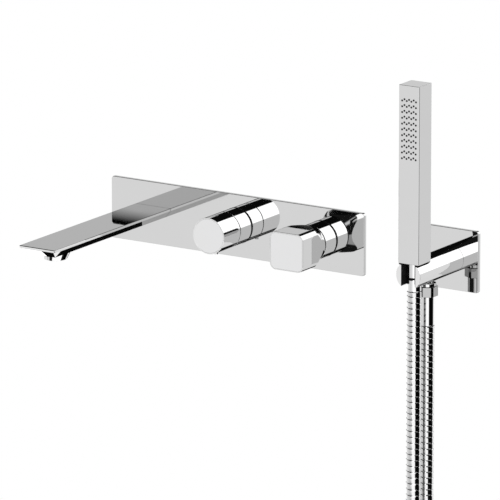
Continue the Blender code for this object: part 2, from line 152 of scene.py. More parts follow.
def dull(name, c0, c1, scale, r0, r1, dist):
    m, n, l, b = new_mat(name)
    nz = noise(n, l, scale, 5.0)
    l.new(tint(n, l, nz.outputs["Fac"], c0, c1), b.inputs["Base Color"])
    l.new(span(n, l, nz.outputs["Fac"], r0, r1), b.inputs["Roughness"])
    fine = noise(n, l, scale * 6, 3.0)
    bump(n, l, fine.outputs["Fac"], b, dist)
    return m


CHROME = chrome("chrome", 0.95)
PLATE = chrome("plate_chrome", 0.82)
FACE = chrome("cap_chrome", 0.97, 0.02, 0.06, 0.01)
SPOUT = chrome("spout_chrome", 0.655)
# painted highlight: a brighter chrome for the spout's upright edges, nose and the left half under its nose
PAINTED_BRIGHT_REFLECTION = chrome("painted_bright_reflection_chrome", 0.99)
HANDLE = chrome("handle_chrome", 0.85)
STICK = chrome("stick_chrome", 0.82)
# painted highlight: a brighter chrome for the hand shower's top face
PAINTED_STICK_TOP_HIGHLIGHT = chrome("painted_stick_top_highlight_chrome", 0.98)
HOSE = chrome("hose_steel", 0.86, 0.04, 0.08)
# painted reflection: near-black chrome on some hose grooves and on stripes of the aerator's shell
PAINTED_BLACK_REFLECTION = chrome("painted_black_reflection_chrome", 0.02)
NUT = chrome("nut_chrome", 0.50)
# painted reflection: a darker chrome for the nut's corner flats and the spout's eased corner and lip
PAINTED_DARK_REFLECTION = chrome("painted_dark_reflection_chrome", 0.2)
# painted reflection: dark steel in the hose's grooves on some sides
PAINTED_GROOVE_REFLECTION = rough_metal("painted_groove_reflection_steel", (0.04, 0.04, 0.04), (0.07, 0.07, 0.07), 400.0, 0.3, 0.5, 0.00001)
BRASS = rough_metal("cast_brass", (0.62, 0.45, 0.20), (0.78, 0.61, 0.30), 160.0, 0.28, 0.48, 0.00008)
STEEL = rough_metal("turned_steel", (0.50, 0.50, 0.52), (0.66, 0.66, 0.68), 220.0, 0.22, 0.36, 0.00003)
RUBBER = dull("black_rubber", (0.006, 0.006, 0.006), (0.014, 0.014, 0.0145), 300.0, 0.55, 0.75, 0.00004)
RUBBER.node_tree.nodes["Principled BSDF"].inputs["Specular IOR Level"].default_value = 0.12
SILICONE = dull("black_silicone", (0.006, 0.006, 0.006), (0.016, 0.016, 0.017), 400.0, 0.38, 0.55, 0.00001)
PLASTIC = dull("grey_plastic", (0.42, 0.42, 0.43), (0.5, 0.5, 0.51), 200.0, 0.4, 0.55, 0.00003)
CARTRIDGE = dull("ivory_plastic", (0.74, 0.73, 0.68), (0.82, 0.81, 0.76), 180.0, 0.35, 0.5, 0.00003)
LINING = dull("black_plastic", (0.015, 0.015, 0.015), (0.035, 0.035, 0.036), 250.0, 0.35, 0.5, 0.00002)
SHADE = dull("deep_shade", (0.002, 0.002, 0.002), (0.004, 0.004, 0.004), 250.0, 0.6, 0.7, 0.00001)
SHADE.node_tree.nodes["Principled BSDF"].inputs["Specular IOR Level"].default_value = 0.0

BY_SLOT = {"chrome": CHROME, "brass": BRASS, "steel": STEEL, "rubber": RUBBER, "silicone": SILICONE,
           "plastic": PLASTIC, "cartridge_plastic": CARTRIDGE}
for part in frame["record"]["subparts"]:
    ob = frame["nodes"][part["node"]]
    ob.data.materials.clear()
    ob.data.materials.append(BY_SLOT[part["material_slot"]])
    ob.data.shade_smooth()
    ob.data.set_sharp_from_angle(angle=math.radians(25))


# ---------------------------------------------------------------- mesh tools
def build(bm, name, mat):
    bmesh.ops.remove_doubles(bm, verts=bm.verts, dist=1e-7)
    bmesh.ops.recalc_face_normals(bm, faces=bm.faces)
    me = bpy.data.meshes.new(name)
    bm.to_mesh(me)
    bm.free()
    me.materials.append(mat)
    ob = bpy.data.objects.new(name, me)
    bpy.context.scene.collection.objects.link(ob)
    return ob


def paint(ob, mats, choose):
    """More materials on a piece; choose gives a face's material number, 0 for the piece's own."""
    for mat in mats:
        ob.data.materials.append(mat)
    for face in ob.data.polygons:
        face.material_index = choose(face)


def done(ob, body, slot, *nodes, angle=35.0):
    """Smooth shading with flat faces kept flat, then into the frame."""
    ob.data.shade_smooth()
    ob.data.set_sharp_from_angle(angle=math.radians(angle))
    md = ob.modifiers.new("flat faces", 'WEIGHTED_NORMAL')
    md.keep_sharp = True
    md.weight = 80
    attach(ob, body)
    if nodes:
        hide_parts(*nodes)
    return ob


def loft(name, rings, mat):
    bm = bmesh.new()
    vs = [[bm.verts.new(Vector(p) * MM) for p in ring] for ring in rings]
    n = len(rings[0])
    for a, b in zip(vs[:-1], vs[1:]):
        for i in range(n):
            j = (i + 1) % n
            bm.faces.new((a[i], a[j], b[j], b[i]))
    bm.faces.new(vs[0])
    bm.faces.new(list(reversed(vs[-1])))
    return build(bm, name, mat)


def frame_y(x, z):
    """Turned shapes about an axis square to the wall: radius, distance from the wall, angle."""
    return lambda r, t, a: (x + r * math.cos(a), -t, z + r * math.sin(a))


def frame_z(x, t):
    """Turned shapes about an upright axis: radius, height, angle."""
    return lambda r, h, a: (x + r * math.cos(a), -t + r * math.sin(a), h)


def rounded(profile, r):
    """Fillet every corner of a closed outline that is off the axis, limited by its short edges."""
    out = []
    m = len(profile)
    for i, p in enumerate(profile):
        p = Vector(p)
        a, b = Vector(profile[i - 1]), Vector(profile[(i + 1) % m])
        u, v = (a - p), (b - p)
        short = min(u.length, v.length) < 1e-6
        if p.x < 1e-6 or short or abs(u.normalized().dot(v.normalized())) > 0.995:
            out.append(tuple(p))
            continue
        half = u.angle(v) / 2
        cutl = min(r / math.tan(half), 0.42 * u.length, 0.42 * v.length)
        rr = cutl * math.tan(half)
        bis = (u.normalized() + v.normalized()).normalized()
        c = p + bis * (rr / math.sin(half))
        s, e = p + u.normalized() * cutl - c, p + v.normalized() * cutl - c
        sweep = s.angle(e)
        sign = 1.0 if s.x * e.y - s.y * e.x > 0 else -1.0
        for k in range(FILLET_STEPS + 1):
            w = sign * sweep * k / FILLET_STEPS
            out.append((c.x + s.x * math.cos(w) - s.y * math.sin(w),
                        c.y + s.x * math.sin(w) + s.y * math.cos(w)))
    return out


def lathe(name, profile, fr, mat, seg=112, r=0.25):
    if r:
        profile = rounded(profile, r)
    bm = bmesh.new()
    angles = [2 * math.pi * k / seg for k in range(seg)]
    cols = [[bm.verts.new(Vector(fr(p[0], p[1], a)) * MM) for p in profile] for a in angles]
    n = len(profile)
    for k in range(seg):
        c, d = cols[k], cols[(k + 1) % seg]
        for i in range(n):
            j = (i + 1) % n
            if profile[i][0] < 1e-6 and profile[j][0] < 1e-6:
                continue
            bm.faces.new((c[i], c[j], d[j], d[i]))
    bmesh.ops.remove_doubles(bm, verts=bm.verts, dist=1e-6)
    bmesh.ops.dissolve_degenerate(bm, dist=1e-6, edges=bm.edges)
    return build(bm, name, mat)


def rrect(w, h, r, n=10):
    """Outline of a rounded rectangle, n steps to a corner."""
    pts = []
    for cx, cy, a0 in ((w / 2 - r, h / 2 - r, 0), (-w / 2 + r, h / 2 - r, 90),
                       (-w / 2 + r, -h / 2 + r, 180), (w / 2 - r, -h / 2 + r, 270)):
        for k in range(n + 1):
            a = math.radians(a0 + 90.0 * k / n)
            pts.append((cx + r * math.cos(a), cy + r * math.sin(a)))
    return pts


def slab(name, w, h, r, x, z, t0, t1, mat, front=0.5, rear=0.0, n=10):
    """Rounded rectangle pushed out of the wall plane, with rolled front and rear edges."""
    turns = [math.pi / 2 * k / EDGE_STEPS for k in range(EDGE_STEPS + 1)]
    levels = [(rear * (1 - math.cos(a)), t0 + rear * (1 - math.sin(a))) for a in reversed(turns)]
    if not rear:
        levels = [(0.0, t0)]
    if front:
        levels += [(front * (1 - math.cos(a)), t1 - front * (1 - math.sin(a))) for a in turns]
    else:
        levels.append((0.0, t1))
    rings = []
    for inset, t in levels:
        outline = rrect(w - 2 * inset, h - 2 * inset, max(r - inset, 0.15), n)
        rings.append([(x + u, -t, z + v) for u, v in outline])
    return loft(name, rings, mat)


def carve(ob, *cutters, op='DIFFERENCE'):
    """Cut a piece by each cutter in turn; the cutters are used up."""
    for c in cutters:
        md = ob.modifiers.new("cut", 'BOOLEAN')
        md.operation, md.solver, md.object = op, 'EXACT', c
        me = bpy.data.meshes.new_from_object(ob.evaluated_get(bpy.context.evaluated_depsgraph_get()))
        ob.modifiers.clear()
        mat = ob.data.materials[0]
        ob.data = me
        me.materials.clear()
        me.materials.append(mat)
        for p in me.polygons:
            p.material_index = 0
        bpy.data.objects.remove(c, do_unlink=True)
    return ob


def rod(r, t0, t1, fr, seg=96):
    """Round cutter from t0 to t1 along its frame."""
    return lathe("c", [(0, t0), (r, t0), (r, t1), (0, t1)], fr, STEEL, seg, 0)


def block(name, x0, x1, t0, t1, z0, z1, mat):
    ring = [(x0, z0), (x1, z0), (x1, z1), (x0, z1)]
    return loft(name, [[(u, -t, v) for u, v in ring] for t in (t0, t1)], mat)


# ---------------------------------------------------------------- hose
def ease(u):
    return u * u * (3 - 2 * u)


def hose_route():
    """Points in mm: straight down from the hand shower, one and a half hanging turns, up to the outlet."""
    y0, y1, top = -STICK_T, -OUT_T, COIL_Z + NECK
    straight = [k / 8.0 for k in range(9)]
    swerve = [k / 9.0 for k in range(1, 9)]
    coil = [k / 34 for k in range(35)]
    pts = [(X_HOLD, y0, HOSE_TOP + (top - HOSE_TOP) * u) for u in straight]
    pts += [(X_HOLD - COIL_R * ease(u), y0, top + (COIL_Z - top) * u) for u in swerve]
    for u in coil:
        a = math.pi + 3 * math.pi * u
        pts.append((X_HOLD + COIL_R * math.cos(a), y0 + (y1 - y0) * u, COIL_Z + COIL_R * math.sin(a)))
    pts += [(X_HOLD + COIL_R * (1 - ease(u)), y1, COIL_Z + (top - COIL_Z) * u) for u in swerve]
    pts += [(X_HOLD, y1, top + (HOSE_END - top) * u) for u in straight]
    return [Vector(p) * MM for p in pts]


route = hose_route()
run = [0.0]
for a, b in zip(route[:-1], route[1:]):
    run.append(run[-1] + (b - a).length)
HOSE_LEN = run[-1]


def smooth_line(step):
    """Even points along a Catmull-Rom curve through the route."""
    out = []
    i = 0
    total = int(HOSE_LEN / step)
    for k in range(total + 1):
        s = HOSE_LEN * k / total
        while i < len(run) - 2 and run[i + 1] < s:
            i += 1
        p1, p2 = route[i], route[i + 1]
        p0 = route[i - 1] if i else p1 * 2 - p2
        p3 = route[i + 2] if i + 2 < len(route) else p2 * 2 - p1
        t = (s - run[i]) / (run[i + 1] - run[i])
        out.append(0.5 * ((2 * p1) + (p2 - p0) * t + (2 * p0 - 5 * p1 + 4 * p2 - p3) * t * t
                          + (3 * p1 - 3 * p2 + p3 - p0) * t * t * t))
    return out


def frames_along(line):
    """Untwisted normals along a line of points."""
    tan = [(line[min(i + 1, len(line) - 1)] - line[max(i - 1, 0)]).normalized() for i in range(len(line))]
    n = Vector((1, 0, 0))
    out = []
    for t in tan:
        n = (n - t * n.dot(t)).normalized()
        out.append((n.copy(), t.cross(n)))
    return out


PITCH, SIDES = 5.9 * MM, 36
# one strip of the wound metal: part of the pitch, and depth below the crown in mm
STRIP = [(0.0, 0.30), (0.03, 0.26), (0.06, 0.10), (0.10, 0.02), (0.15, 0.0),
         (0.85, 0.0), (0.90, 0.02), (0.94, 0.10), (0.97, 0.26)]


def groove_paint(j, heading):
    """Material of one face of the strip: grooves are painted dark where they face dark parts of the studio."""
    from_seam = min(j, len(STRIP) - 1 - j)
    if from_seam < 3 and -50 < heading < -20:
        return PAINT_2
    if from_seam < 3 and (heading < -136 or heading > 120):
        return PAINT_1
    if from_seam < 2 and -112 < heading < -74:
        return PAINT_1
    return 0


def wound_hose(name, line, mat):
    """Metal strip wound edge to edge along the line, closed at both ends."""
    fr = frames_along(line)
    step = HOSE_LEN / (len(line) - 1)
    turns = int(HOSE_LEN / PITCH) + 3
    bm = bmesh.new()
    rows, heading = [], []
    for k in range(turns * SIDES + 1):
        a = 2 * math.pi * k / SIDES
        base = (k / SIDES - 2) * PITCH
        row = []
        for f, drop in STRIP:
            s = min(max(base + f * PITCH, 0.0), HOSE_LEN)
            q = min(s / step, len(line) - 1.000001)
            i = int(q)
            w = q - i
            p = line[i].lerp(line[i + 1], w)
            n = fr[i][0].lerp(fr[i + 1][0], w)
            b = fr[i][1].lerp(fr[i + 1][1], w)
            r = HOSE_D / 2 * MM - drop * MM
            away = n * math.cos(a) - b * math.sin(a)
            row.append(bm.verts.new(p + away * r))
        heading.append(math.degrees(math.atan2(away.y, away.x)))
        rows.append(row)
    for k in range(turns * SIDES):
        for j in range(len(STRIP)):
            a0, b0 = rows[k][j], rows[k + 1][j]
            if j + 1 < len(STRIP):
                a1, b1 = rows[k][j + 1], rows[k + 1][j + 1]
            elif k + 1 + SIDES < len(rows):
                a1, b1 = rows[k + SIDES][0], rows[k + 1 + SIDES][0]
            else:
                continue
            bm.faces.new((a0, b0, b1, a1)).material_index = groove_paint(j, heading[k])
    bmesh.ops.remove_doubles(bm, verts=bm.verts, dist=2e-6)
    bmesh.ops.dissolve_degenerate(bm, dist=2e-6, edges=bm.edges)
    loose = [e for e in bm.edges if len(e.link_faces) < 2]
    bmesh.ops.holes_fill(bm, edges=loose, sides=0)
    return build(bm, name, mat)


line = smooth_line(0.004)
hose = wound_hose("wound_hose", line, HOSE)
# painted dark reflections in the hose's grooves, placed by groove_paint
hose.data.materials.append(PAINTED_GROOVE_REFLECTION)
hose.data.materials.append(PAINTED_BLACK_REFLECTION)
hose.data.shade_smooth()
hose.data.set_sharp_from_angle(angle=math.radians(60))
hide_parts("shower_hose")
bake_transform(hose)

# ---------------------------------------------------------------- fittings on the hose
at_stick, at_outlet = frame_z(X_HOLD, STICK_T), frame_z(X_HOLD, OUT_T)
cone = lathe("cone_nut", [(3.6, -5.1), (6.7, -5.1), (7.05, -5.8), (7.05, -16.6), (6.8, -17.4), (3.6, -17.4)],
             at_stick, CHROME, 96, 0.3)
done(cone, "hose_cone", "chrome", "hose_cone_nut")
NUT_FLATS, NUT_Z0, NUT_Z1, NUT_TURN, NUT_EDGE_HALF = 19.5, -26.9, -17.4, 28.5, 8.0


def hexagon(z):
    """Outline of a hexagon with narrow flats ground on its six corners."""
    half = math.radians(NUT_EDGE_HALF)
    k = NUT_FLATS / math.sqrt(3) / math.cos(math.radians(30.0) - half) * math.cos(math.radians(30.0))
    return [at_outlet(k, z, math.radians(NUT_TURN) + math.radians(60.0 * i) + w)
            for i in range(6) for w in (-half, half)]


def nut_corner(face):
    """The flats ground on the corners carry a painted dark reflection."""
    turned_by = math.degrees(math.atan2(face.normal.y, face.normal.x)) - NUT_TURN
    near_corner = abs((turned_by + 30.0) % 60.0 - 30.0) < 9.0
    outside = (face.center.xy - Vector((X_HOLD, -OUT_T)) * MM).length > 9.6 * MM
    return PAINT_1 if abs(face.normal.z) < 0.3 and near_corner and outside else 0


nut = loft("hexagon_nut", [hexagon(NUT_Z0), hexagon(NUT_Z1)], NUT)
dome = lathe("c", [(0, -27.0), (10.4, -27.0), (11.4, -26.4), (11.4, -18.0), (10.4, -17.3), (0, -17.3)],
             at_outlet, CHROME, 72, 0)
carve(nut, dome, op='INTERSECT')
carve(nut, rod(6.7, -32, -15, at_outlet, 72))
# painted dark reflection on the nut's corner flats
paint(nut, [PAINTED_DARK_REFLECTION], nut_corner)
done(nut, "root", "chrome", "hose_nut", angle=15)
ferrule = lathe("hose_ferrule_skin", [(3.0, -57.0), (6.9, -57.0), (7.2, -56.4), (7.2, -27.8), (6.9, -27.2),
                                      (3.0, -27.2)], at_outlet, CHROME, 96, 0.3)
done(ferrule, "root", "chrome", "hose_ferrule")
TURN_GAP = (STICK_T - OUT_T) / 1.5


def tie(name, x, ya, yb, node):
    """Moulded band round two turns."""
    def ring(margin, r, w):
        outline = rrect(HOSE_D + margin, abs(yb - ya) + HOSE_D + margin, r, 12)
        return [(x + u, (ya + yb) / 2 + v, COIL_Z + w) for u, v in outline]

    levels = [(0.5, -2.5), (0.15, -2.35), (0.0, -2.0), (0.0, 2.0), (0.15, 2.35), (0.5, 2.5)]
    ob = loft(name, [ring(4.8 - 2 * inset, 9.4 - inset, w) for inset, w in levels], LINING)
    carve(ob, loft("c", [ring(2.2, 8.2, w) for w in (-4.0, 4.0)], LINING))
    return done(ob, "root", "plastic", node, angle=40)


tie_a = tie("band_left", X_HOLD - COIL_R, -STICK_T, -STICK_T + TURN_GAP, "hose_tie_left")
tie_b = tie("band_right", X_HOLD + COIL_R, -OUT_T - TURN_GAP, -OUT_T, "hose_tie_right")

# ---------------------------------------------------------------- wall plates
at_diverter, at_mixer, at_holder = frame_y(X_DIV, 0), frame_y(X_MIX, 0), frame_y(X_HOLD, 0)


def wall_plate(name, node, w, h, x, *openings):
    """Plate with rolled edges and a seal groove round its rear."""
    plate = slab(name, w, h, PLATE_R, x, 0, 0, PLATE_T, PLATE, 0.45, 0.25)
    groove = slab("c", w - 8, h - 8, 2.8, x, 0, -1, 1.5, PLATE, 0)
    carve(groove, slab("d", w - 16, h - 16, 1.8, x, 0, -2, 3, PLATE, 0))
    carve(plate, groove, *openings)
    done(plate, "root", "chrome", node)


wall_plate("cover_plate_skin", "cover_plate", PLATE_W, PLATE_H, 0,
           slab("c", 27.0, 6.6, 2.0, X_SPOUT, 3.0, -1, 6, PLATE, 0),
           rod(16.2, -1, 6, at_diverter), rod(16.2, -1, 6, at_mixer))
wall_plate("holder_plate_skin", "holder_plate", HOLD_W, HOLD_H, X_HOLD, rod(11.0, -1, 6, at_holder))


# ---------------------------------------------------------------- spout
CHAMFER_RIGHT = 5.0


def spout_ring(t, half, edge, drop, inward, soft=0.5, top=SPOUT_TOP):
    """Flat top with eased corners, short upright edge, underside sloping inward."""
    side = [(half - soft, top), (half - soft * 0.29, top - soft * 0.29), (half, top - soft),
            (half, top - edge), (half - inward, top - edge - drop)]
    left = [(X_SPOUT - u, -t, z) for u, z in side]
    right = [(X_SPOUT + u, -t, z) for u, z in reversed(side)]
    return left + [(X_SPOUT + CHAMFER_RIGHT, -t, top - edge - drop)] + right


def spout_paint(face):
    """Painted reflections: bright upright edges and nose, dark eased corner and lip, half dark, half bright
    under the nose.
    """
    n, c = face.normal, face.center / MM
    if abs(n.x) > 0.97 and c.z > 3.5:
        return PAINT_1
    if n.x > 0.3 and n.z > 0.3 and -150 < c.y < -6:
        return PAINT_2
    if c.y < 0.62 - SPOUT_TIP and n.z < -0.3:
        return PAINT_2
    if n.y < -0.9:
        return PAINT_1
    if c.y < -202 and n.z < -0.7 and abs(n.x) < 0.2:
        return PAINT_3 if c.x > X_SPOUT + CHAMFER_RIGHT else PAINT_1
    return 0


half = SPOUT_W / 2
blade = [spout_ring(t, half, 2.6, 7.4, 6.6) for t in (PLATE_T + 0.3, 95, 158, 201)]
nose = [spout_ring(SPOUT_TIP - 0.6, half, 2.2, 0.5, 1.8),
        spout_ring(SPOUT_TIP, half - 0.5, 1.35, 0.3, 1.6, 0.5, SPOUT_TOP - 0.6)]
spout = loft("spout_blade", blade + nose, SPOUT)
AER_TOP = SPOUT_TOP - 10.0


def aerator_y(z):
    """The aerator's axis leans outward as it goes down."""
    return -(AER_T + AER_LEAN * (AER_TOP - z))


def at_aerator(r, z, a):
    """Level rings round the leaning axis: radius, height, angle."""
    return (X_SPOUT + r * math.cos(a), aerator_y(z) + r * math.sin(a), z)


def shell_paint(face):
    """Painted dark reflections: stripes down the outside of the aerator's shell and a band round its upper
    front.
    """
    c = face.center / MM
    a = math.degrees(math.atan2(c.y - aerator_y(c.z), c.x - X_SPOUT))
    outer = math.hypot(c.x - X_SPOUT, c.y - aerator_y(c.z)) > 11.9
    stripe = -29 < a < -3 or 15 < a < 32 or -83 < a < -69
    upper = c.z > -5.9 and -150 < a < -55
    return PAINT_1 if outer and (stripe or upper) else 0


carve(spout, rod(9.8, -9, 2.0, at_aerator, 72), slab("c", 26.7, 6.2, 2.0, X_SPOUT, 3.0, 0, 24, SPOUT, 0))
# painted reflections on the spout, and painted shade under the right half of its nose
paint(spout, [PAINTED_BRIGHT_REFLECTION, PAINTED_DARK_REFLECTION, SHADE], spout_paint)
done(spout, "root", "chrome", "spout_body", angle=3)
shell = lathe("aerator_shell", [(9.4, -0.6), (7.4, -0.6), (7.4, -5.0), (10.9, -5.0), (10.9, -9.6),
                                (11.8, -9.8), (12.2, -9.4), (13.38, -5.9), (14.3, -3.2), (14.1, -3.1),
                                (9.4, -3.1)],
              at_aerator, CHROME, 144, 0.2)
# painted dark reflections on the aerator's shell
paint(shell, [PAINTED_BLACK_REFLECTION], shell_paint)
done(shell, "root", "chrome", "aerator_housing")
done(lathe("aerator_screen", [(0, -9.0), (10.5, -9.0), (10.5, -7.0), (0, -7.0)], at_aerator, LINING, 72, 0.2),
     "root", "plastic", "aerator_insert")


# ---------------------------------------------------------------- controls
def collar(tag, frame_out, end):
    """The fixed foot of a control: black ring at the plate and plated sleeve."""
    ring = lathe(tag + "_root_ring", [(16.6, 4.3), (18.6, 4.3), (18.6, 5.2), (16.6, 5.2)],
                 frame_out, RUBBER, 128, 0.2)
    done(ring, "root", "rubber", tag + "_collar_ring")
    sleeve = lathe(tag + "_sleeve", [(16.6, 5.5), (BARREL_R, 5.5), (BARREL_R, end), (10.2, end),
                                     (10.2, end - 2.2), (16.6, end - 2.2)], frame_out, CHROME, 128, 0.25)
    done(sleeve, "root", "chrome", tag + "_collar")


PEG_T, CAP_T, CAP_SEAT = 41.5, 1.7, 2.0
collar("diverter", at_diverter, COLLAR_END)
collar("mixer", at_mixer, MIX_COLLAR_END)

at_peg = frame_z(X_DIV, PEG_T)
knob = lathe("diverter_barrel", [(4.5, KN0 + 2), (9.6, KN0 + 2), (9.6, 44), (16.0, 44), (16.0, KN0),
                                 (BARREL_R, KN0), (BARREL_R, DIV_END), (17.3, DIV_END),
                                 (17.3, DIV_END - CAP_SEAT), (2.4, DIV_END - CAP_SEAT),
                                 (2.4, 44.6), (4.5, 44.6)],
             at_diverter, CHROME, 128, 0.15)
carve(knob, rod(2.3, -22, -15, at_peg, 48))
done(knob, "diverter", "chrome", "diverter_knob")
disc = lathe("diverter_disc", [(0, DIV_END - CAP_T), (17.27, DIV_END - CAP_T), (17.27, DIV_END),
                               (0, DIV_END)], at_diverter, FACE, 128, 0.06)
done(disc, "diverter", "chrome", "diverter_cap")
peg = lathe("diverter_peg", [(0, -21.4), (2.0, -21.4), (2.0, -16.3), (0, -16.3)], at_peg, CHROME, 48, 0.4)
done(peg, "diverter", "chrome", "diverter_pin")

# square in front, turned down to a round root that the spindle and the grub screw enter
handle = slab("mixer_block", MIX_SIDE, MIX_SIDE, MIX_CORNER, X_MIX, 0, HN0, MIX_END, HANDLE, 0.35, 0.0, 16)
turned = lathe("c", [(0, 20), (18.3, 20), (18.5, 26.2), (19.3, 30.4), (21.4, 35.6), (24.6, 42.4), (27, 46),
                     (27, 80), (0, 80)], at_mixer, CHROME, 144, 0)
carve(handle, turned, op='INTERSECT')
carve(handle, lathe("c", [(9.8, 20), (9.8, 54), (16.0, 54), (16.0, 20)], at_mixer, CHROME, 96, 0),
      rod(4.5, 20, 54.6, at_mixer, 48), rod(2.4, -20.5, -4.0, frame_z(X_MIX, 46), 40),
      slab("c", MIX_SIDE - 2.4, MIX_SIDE - 2.4, 5.6, X_MIX, 0, MIX_END - CAP_SEAT, MIX_END + 2, CHROME, 0),
      rod(11.0, 22, 28, at_mixer))
done(handle, "mixer", "chrome", "mixer_handle", angle=14)
disc_side = MIX_SIDE - 2.46
disc = slab("mixer_disc", disc_side, disc_side, 5.55, X_MIX, 0, MIX_END - CAP_T, MIX_END, FACE, 0.06, 0.0, 16)
done(disc, "mixer", "chrome", "mixer_cap")

# ---------------------------------------------------------------- hand-shower holder
SLOT_HALF = 8.1
arm = lathe("fork_arm", [(10.75, 4.1), (ARM_R, 4.1), (ARM_R, ARM_END), (0, ARM_END), (0, 50), (6.5, 50),
                         (6.5, 22), (10.75, 22)], at_holder, CHROME, 128, 0.2)
carve(arm, block("c", X_HOLD - 20, X_HOLD + 20, STICK_T - STICK_W / 2 - 0.5, 100, SEAT_Z, 30, CHROME),
      block("c", X_HOLD - SLOT_HALF, X_HOLD + SLOT_HALF, STICK_T, 100, -20, 20, CHROME),
      rod(SLOT_HALF, -20, 20, at_stick), rod(5.0, -20, 0, at_outlet),
      rod(2.6, -20, -9, frame_z(X_HOLD, 13), 48))
done(arm, "root", "chrome", "holder_arm", angle=20)
tail = lathe("outlet_tail", [(3.6, -25.3), (6.3, -25.3), (6.3, -14.1), (4.7, -14.1), (4.7, -6.0),
                             (3.6, -6.0)], at_outlet, CHROME, 96, 0.2)
done(tail, "root", "chrome", "outlet_stub")
ring = lathe("outlet_ring", [(6.6, -17.1), (8.6, -17.1), (8.6, -14.1), (6.6, -14.1)],
             at_outlet, CHROME, 96, 0.25)
done(ring, "root", "chrome", "outlet_collar")


# ---------------------------------------------------------------- hand shower
def stick_level(half, z, r):
    return [(X_HOLD + u, -STICK_T + v, z) for u, v in rrect(2 * half, 2 * half, r, 6)]


STICK_HALF, STICK_EDGE = STICK_W / 2, 0.4
turns = [math.pi / 2 * k / 4 for k in range(5)]
levels = [(STICK_EDGE * (1 - math.sin(a)), STICK_Z0 + STICK_EDGE * (1 - math.cos(a))) for a in turns]
levels += [(STICK_EDGE * (1 - math.cos(a)), STICK_Z1 - STICK_EDGE * (1 - math.sin(a))) for a in turns]
stick = loft("stick_shell", [stick_level(STICK_HALF - i, z, max(0.8 - i, 0.4)) for i, z in levels], STICK)
hollow = loft("c", [stick_level(STICK_HALF - 2.0, z, 0.6) for z in (STICK_Z0 - 2, STICK_Z1 - 2.5)], STICK)
carve(stick, hollow)
# painted highlight on the top face of the hand shower
TOP_FACE = (STICK_Z1 - 1.0) * MM
paint(stick, [PAINTED_STICK_TOP_HIGHLIGHT], lambda face: PAINT_1 if face.normal.z > 0.95 and face.center.z > TOP_FACE else 0)
done(stick, "handset", "chrome", "handset_body", angle=18)

FRONT, NOZ_SIDES = STICK_T + STICK_HALF, 12
# radius and distance from the wall of one soft nozzle, from its root to its tip
NOZZLE = [(1.0, FRONT - 0.9), (1.0, FRONT + 0.2), (0.85, FRONT + 0.42), (0.5, FRONT + 0.5)]


def nozzle(bm, x, z):
    angles = [2 * math.pi * k / NOZ_SIDES for k in range(NOZ_SIDES)]
    at_nozzle = frame_y(x, z)
    rings = [[bm.verts.new(Vector(at_nozzle(r, t, a)) * MM) for a in angles] for r, t in NOZZLE]
    bm.faces.new(rings[0])
    for a, b in zip(rings[:-1], rings[1:]):
        for k in range(NOZ_SIDES):
            j = (k + 1) % NOZ_SIDES
            bm.faces.new((a[k], a[j], b[j], b[k]))
    bm.faces.new(list(reversed(rings[-1])))


bm = bmesh.new()
for row in range(NOZ_ROWS):
    for col in range(NOZ_COLS):
        nozzle(bm, X_HOLD + (col - (NOZ_COLS - 1) / 2) * NOZ_DX,
               NOZ_TOP - row * NOZ_DZ + (NOZ_ZIG if col % 2 else -NOZ_ZIG))
done(build(bm, "nozzles", SILICONE), "handset", "silicone", "nozzle_mat", angle=50)
sleeve = lathe("connector_skin", [(5.3, -3.2), (7.0, -3.2), (7.0, STICK_Z0 - 0.3), (5.3, STICK_Z0 - 0.3)],
               at_stick, CHROME, 96, 0.3)
done(sleeve, "handset", "chrome", "connector_sleeve")

# ---------------------------------------------------------------- floor and card
FLOOR_Z = -0.70
bpy.ops.mesh.primitive_plane_add(size=60.0, location=(0, 0, FLOOR_Z))
floor = bpy.context.object
floor.name = "floor"
m, n, l, b = new_mat("floor_white")
em = n.new("ShaderNodeEmission")
em.inputs["Color"].default_value = (1, 1, 1, 1)
em.inputs["Strength"].default_value = 1.0
l.new(em.outputs["Emission"], n["Material Output"].inputs["Surface"])
floor.data.materials.append(m)
floor.visible_glossy = floor.visible_diffuse = floor.visible_shadow = False

# card in front of the plate, whose lower part shows in the plate and so in the spout's top
CARD_X0, CARD_X1, CARD_Y, CARD_Z0, CARD_Z1, CARD_GREY = -0.46, -0.14, -0.404, 0.05, 0.150, 0.60
CARD_FADE = 0.132, 0.146
bm = bmesh.new()
corners = (CARD_X0, CARD_Z0), (CARD_X1, CARD_Z0), (CARD_X1, CARD_Z1), (CARD_X0, CARD_Z1)
bm.faces.new([bm.verts.new(Vector((x, CARD_Y, z))) for x, z in corners])
m, n, l, b = new_mat("card_grey")
tcc, sp = n.new("ShaderNodeTexCoord"), n.new("ShaderNodeSeparateXYZ")
l.new(tcc.outputs["Object"], sp.inputs["Vector"])
em = n.new("ShaderNodeEmission")
l.new(span(n, l, sp.outputs["Z"], CARD_GREY, 0.0, *CARD_FADE), em.inputs["Strength"])
l.new(em.outputs["Emission"], n["Material Output"].inputs["Surface"])
card = build(bm, "grey_card", m)
card.visible_camera = card.visible_diffuse = card.visible_shadow = False

# ---------------------------------------------------------------- studio
# Plain white to the camera. Mirrors see bands, spots and cards by direction, and their first reflection sees
# others than the later ones.
world = bpy.data.worlds.new("studio")
bpy.context.scene.world = world
world.use_nodes = True
wn, wl = world.node_tree.nodes, world.node_tree.links
wn.clear()
tc = wn.new("ShaderNodeTexCoord")
sep = wn.new("ShaderNodeSeparateXYZ")
wl.new(tc.outputs["Generated"], sep.inputs["Vector"])


def op(kind, a, b=None, c=None, clamp=False):
    """One Math node of the world; numbers go on its sockets, outputs are linked."""
    nd = wn.new("ShaderNodeMath")
    nd.operation = kind
    nd.use_clamp = clamp
    for i, v in enumerate((a, b, c)):
        if v is None:
            continue
        if isinstance(v, (int, float)):
            nd.inputs[i].default_value = v
        else:
            wl.new(v, nd.inputs[i])
    return nd.outputs[0]


